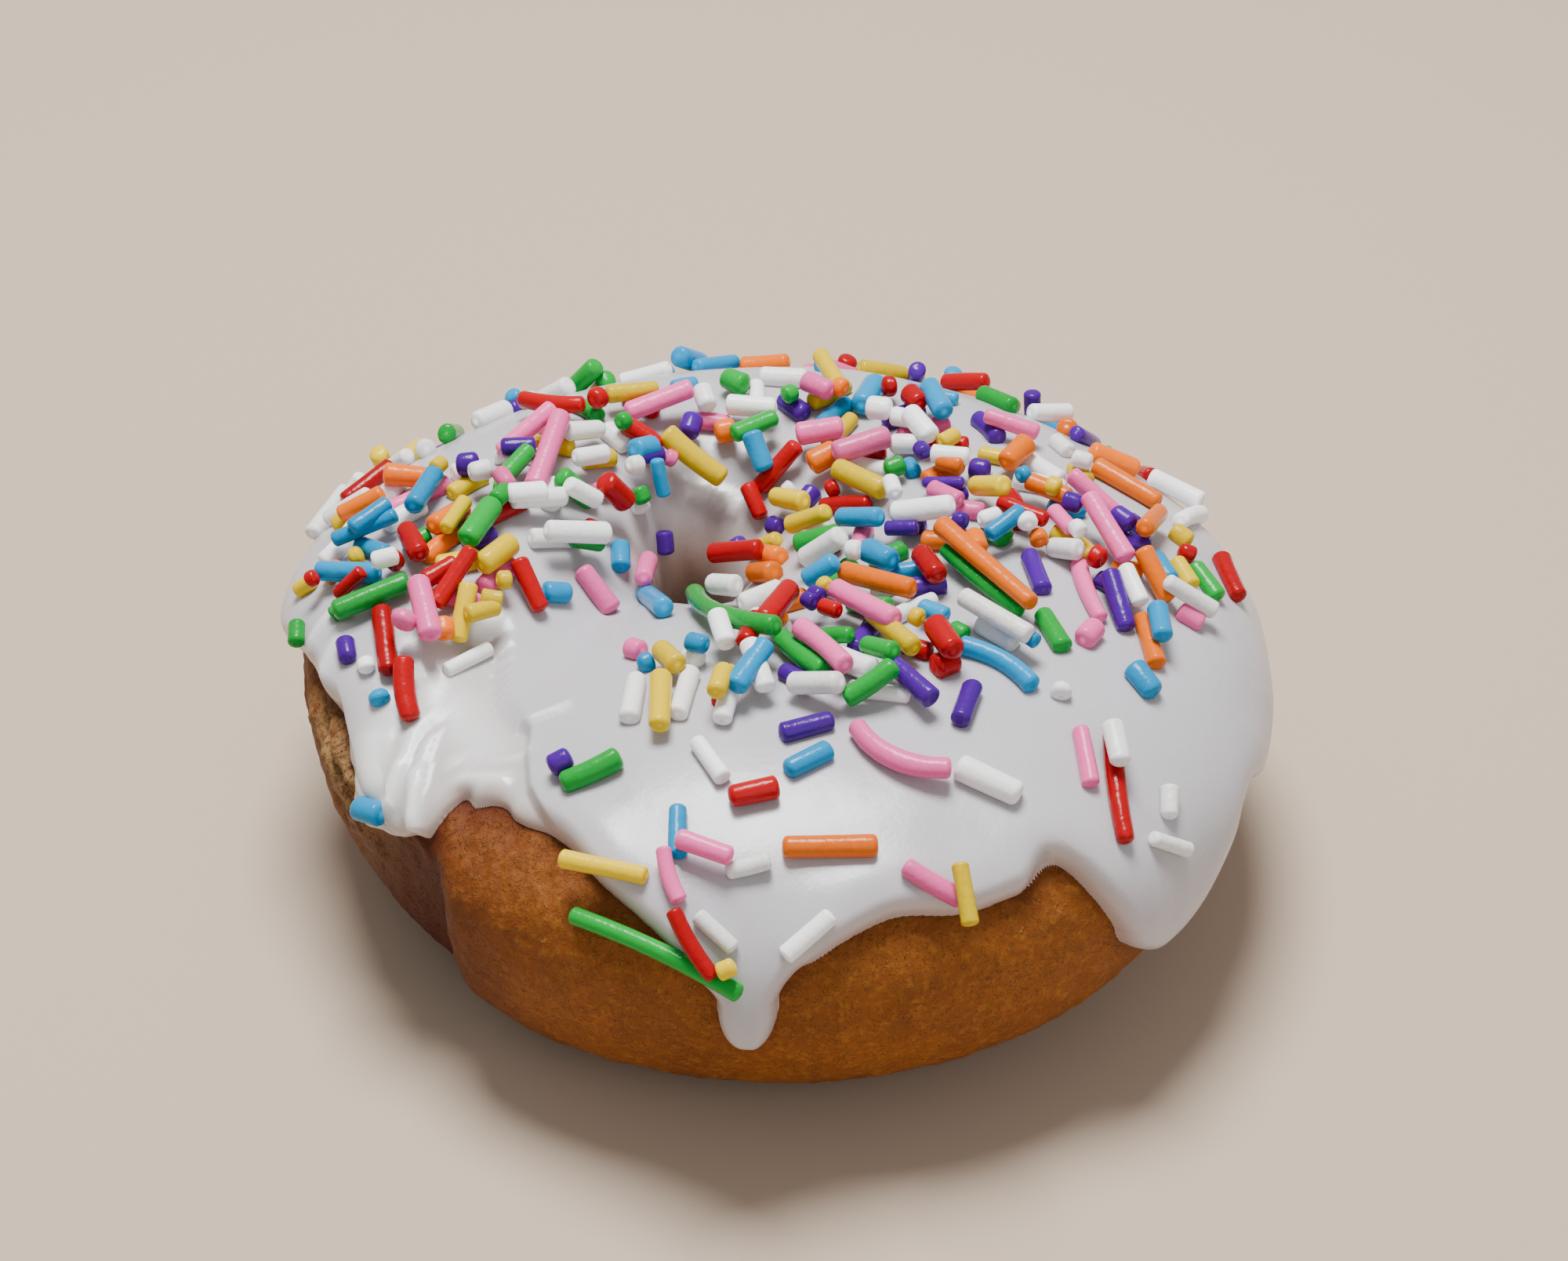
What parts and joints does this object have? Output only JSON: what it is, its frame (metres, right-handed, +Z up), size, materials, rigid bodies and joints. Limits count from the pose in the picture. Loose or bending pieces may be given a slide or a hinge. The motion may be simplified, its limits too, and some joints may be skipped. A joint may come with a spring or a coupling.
{
  "type": "sprinkle cake doughnut",
  "caption": "Uneven fried cake ring with a small off-centre hole, topped with white icing that runs down in drips and scattered with coloured sugar sprinkles.",
  "frame": {"origin": "under the middle of the object, on the surface it rests on", "axes": "+Z up through the ring; -Y is the front, where one long drip runs down between two lobes of icing; +X is to the right seen from the front"},
  "size_m": [0.0882, 0.0889, 0.0363],
  "materials": {
    "fried_dough": "rough fried crumb crust, golden brown",
    "white_icing": "satin white sugar icing with coloured sprinkles pressed in"
  },
  "bodies": {
    "root": {"dough": "fried_dough", "icing": "white_icing"}
  },
  "joints": []
}
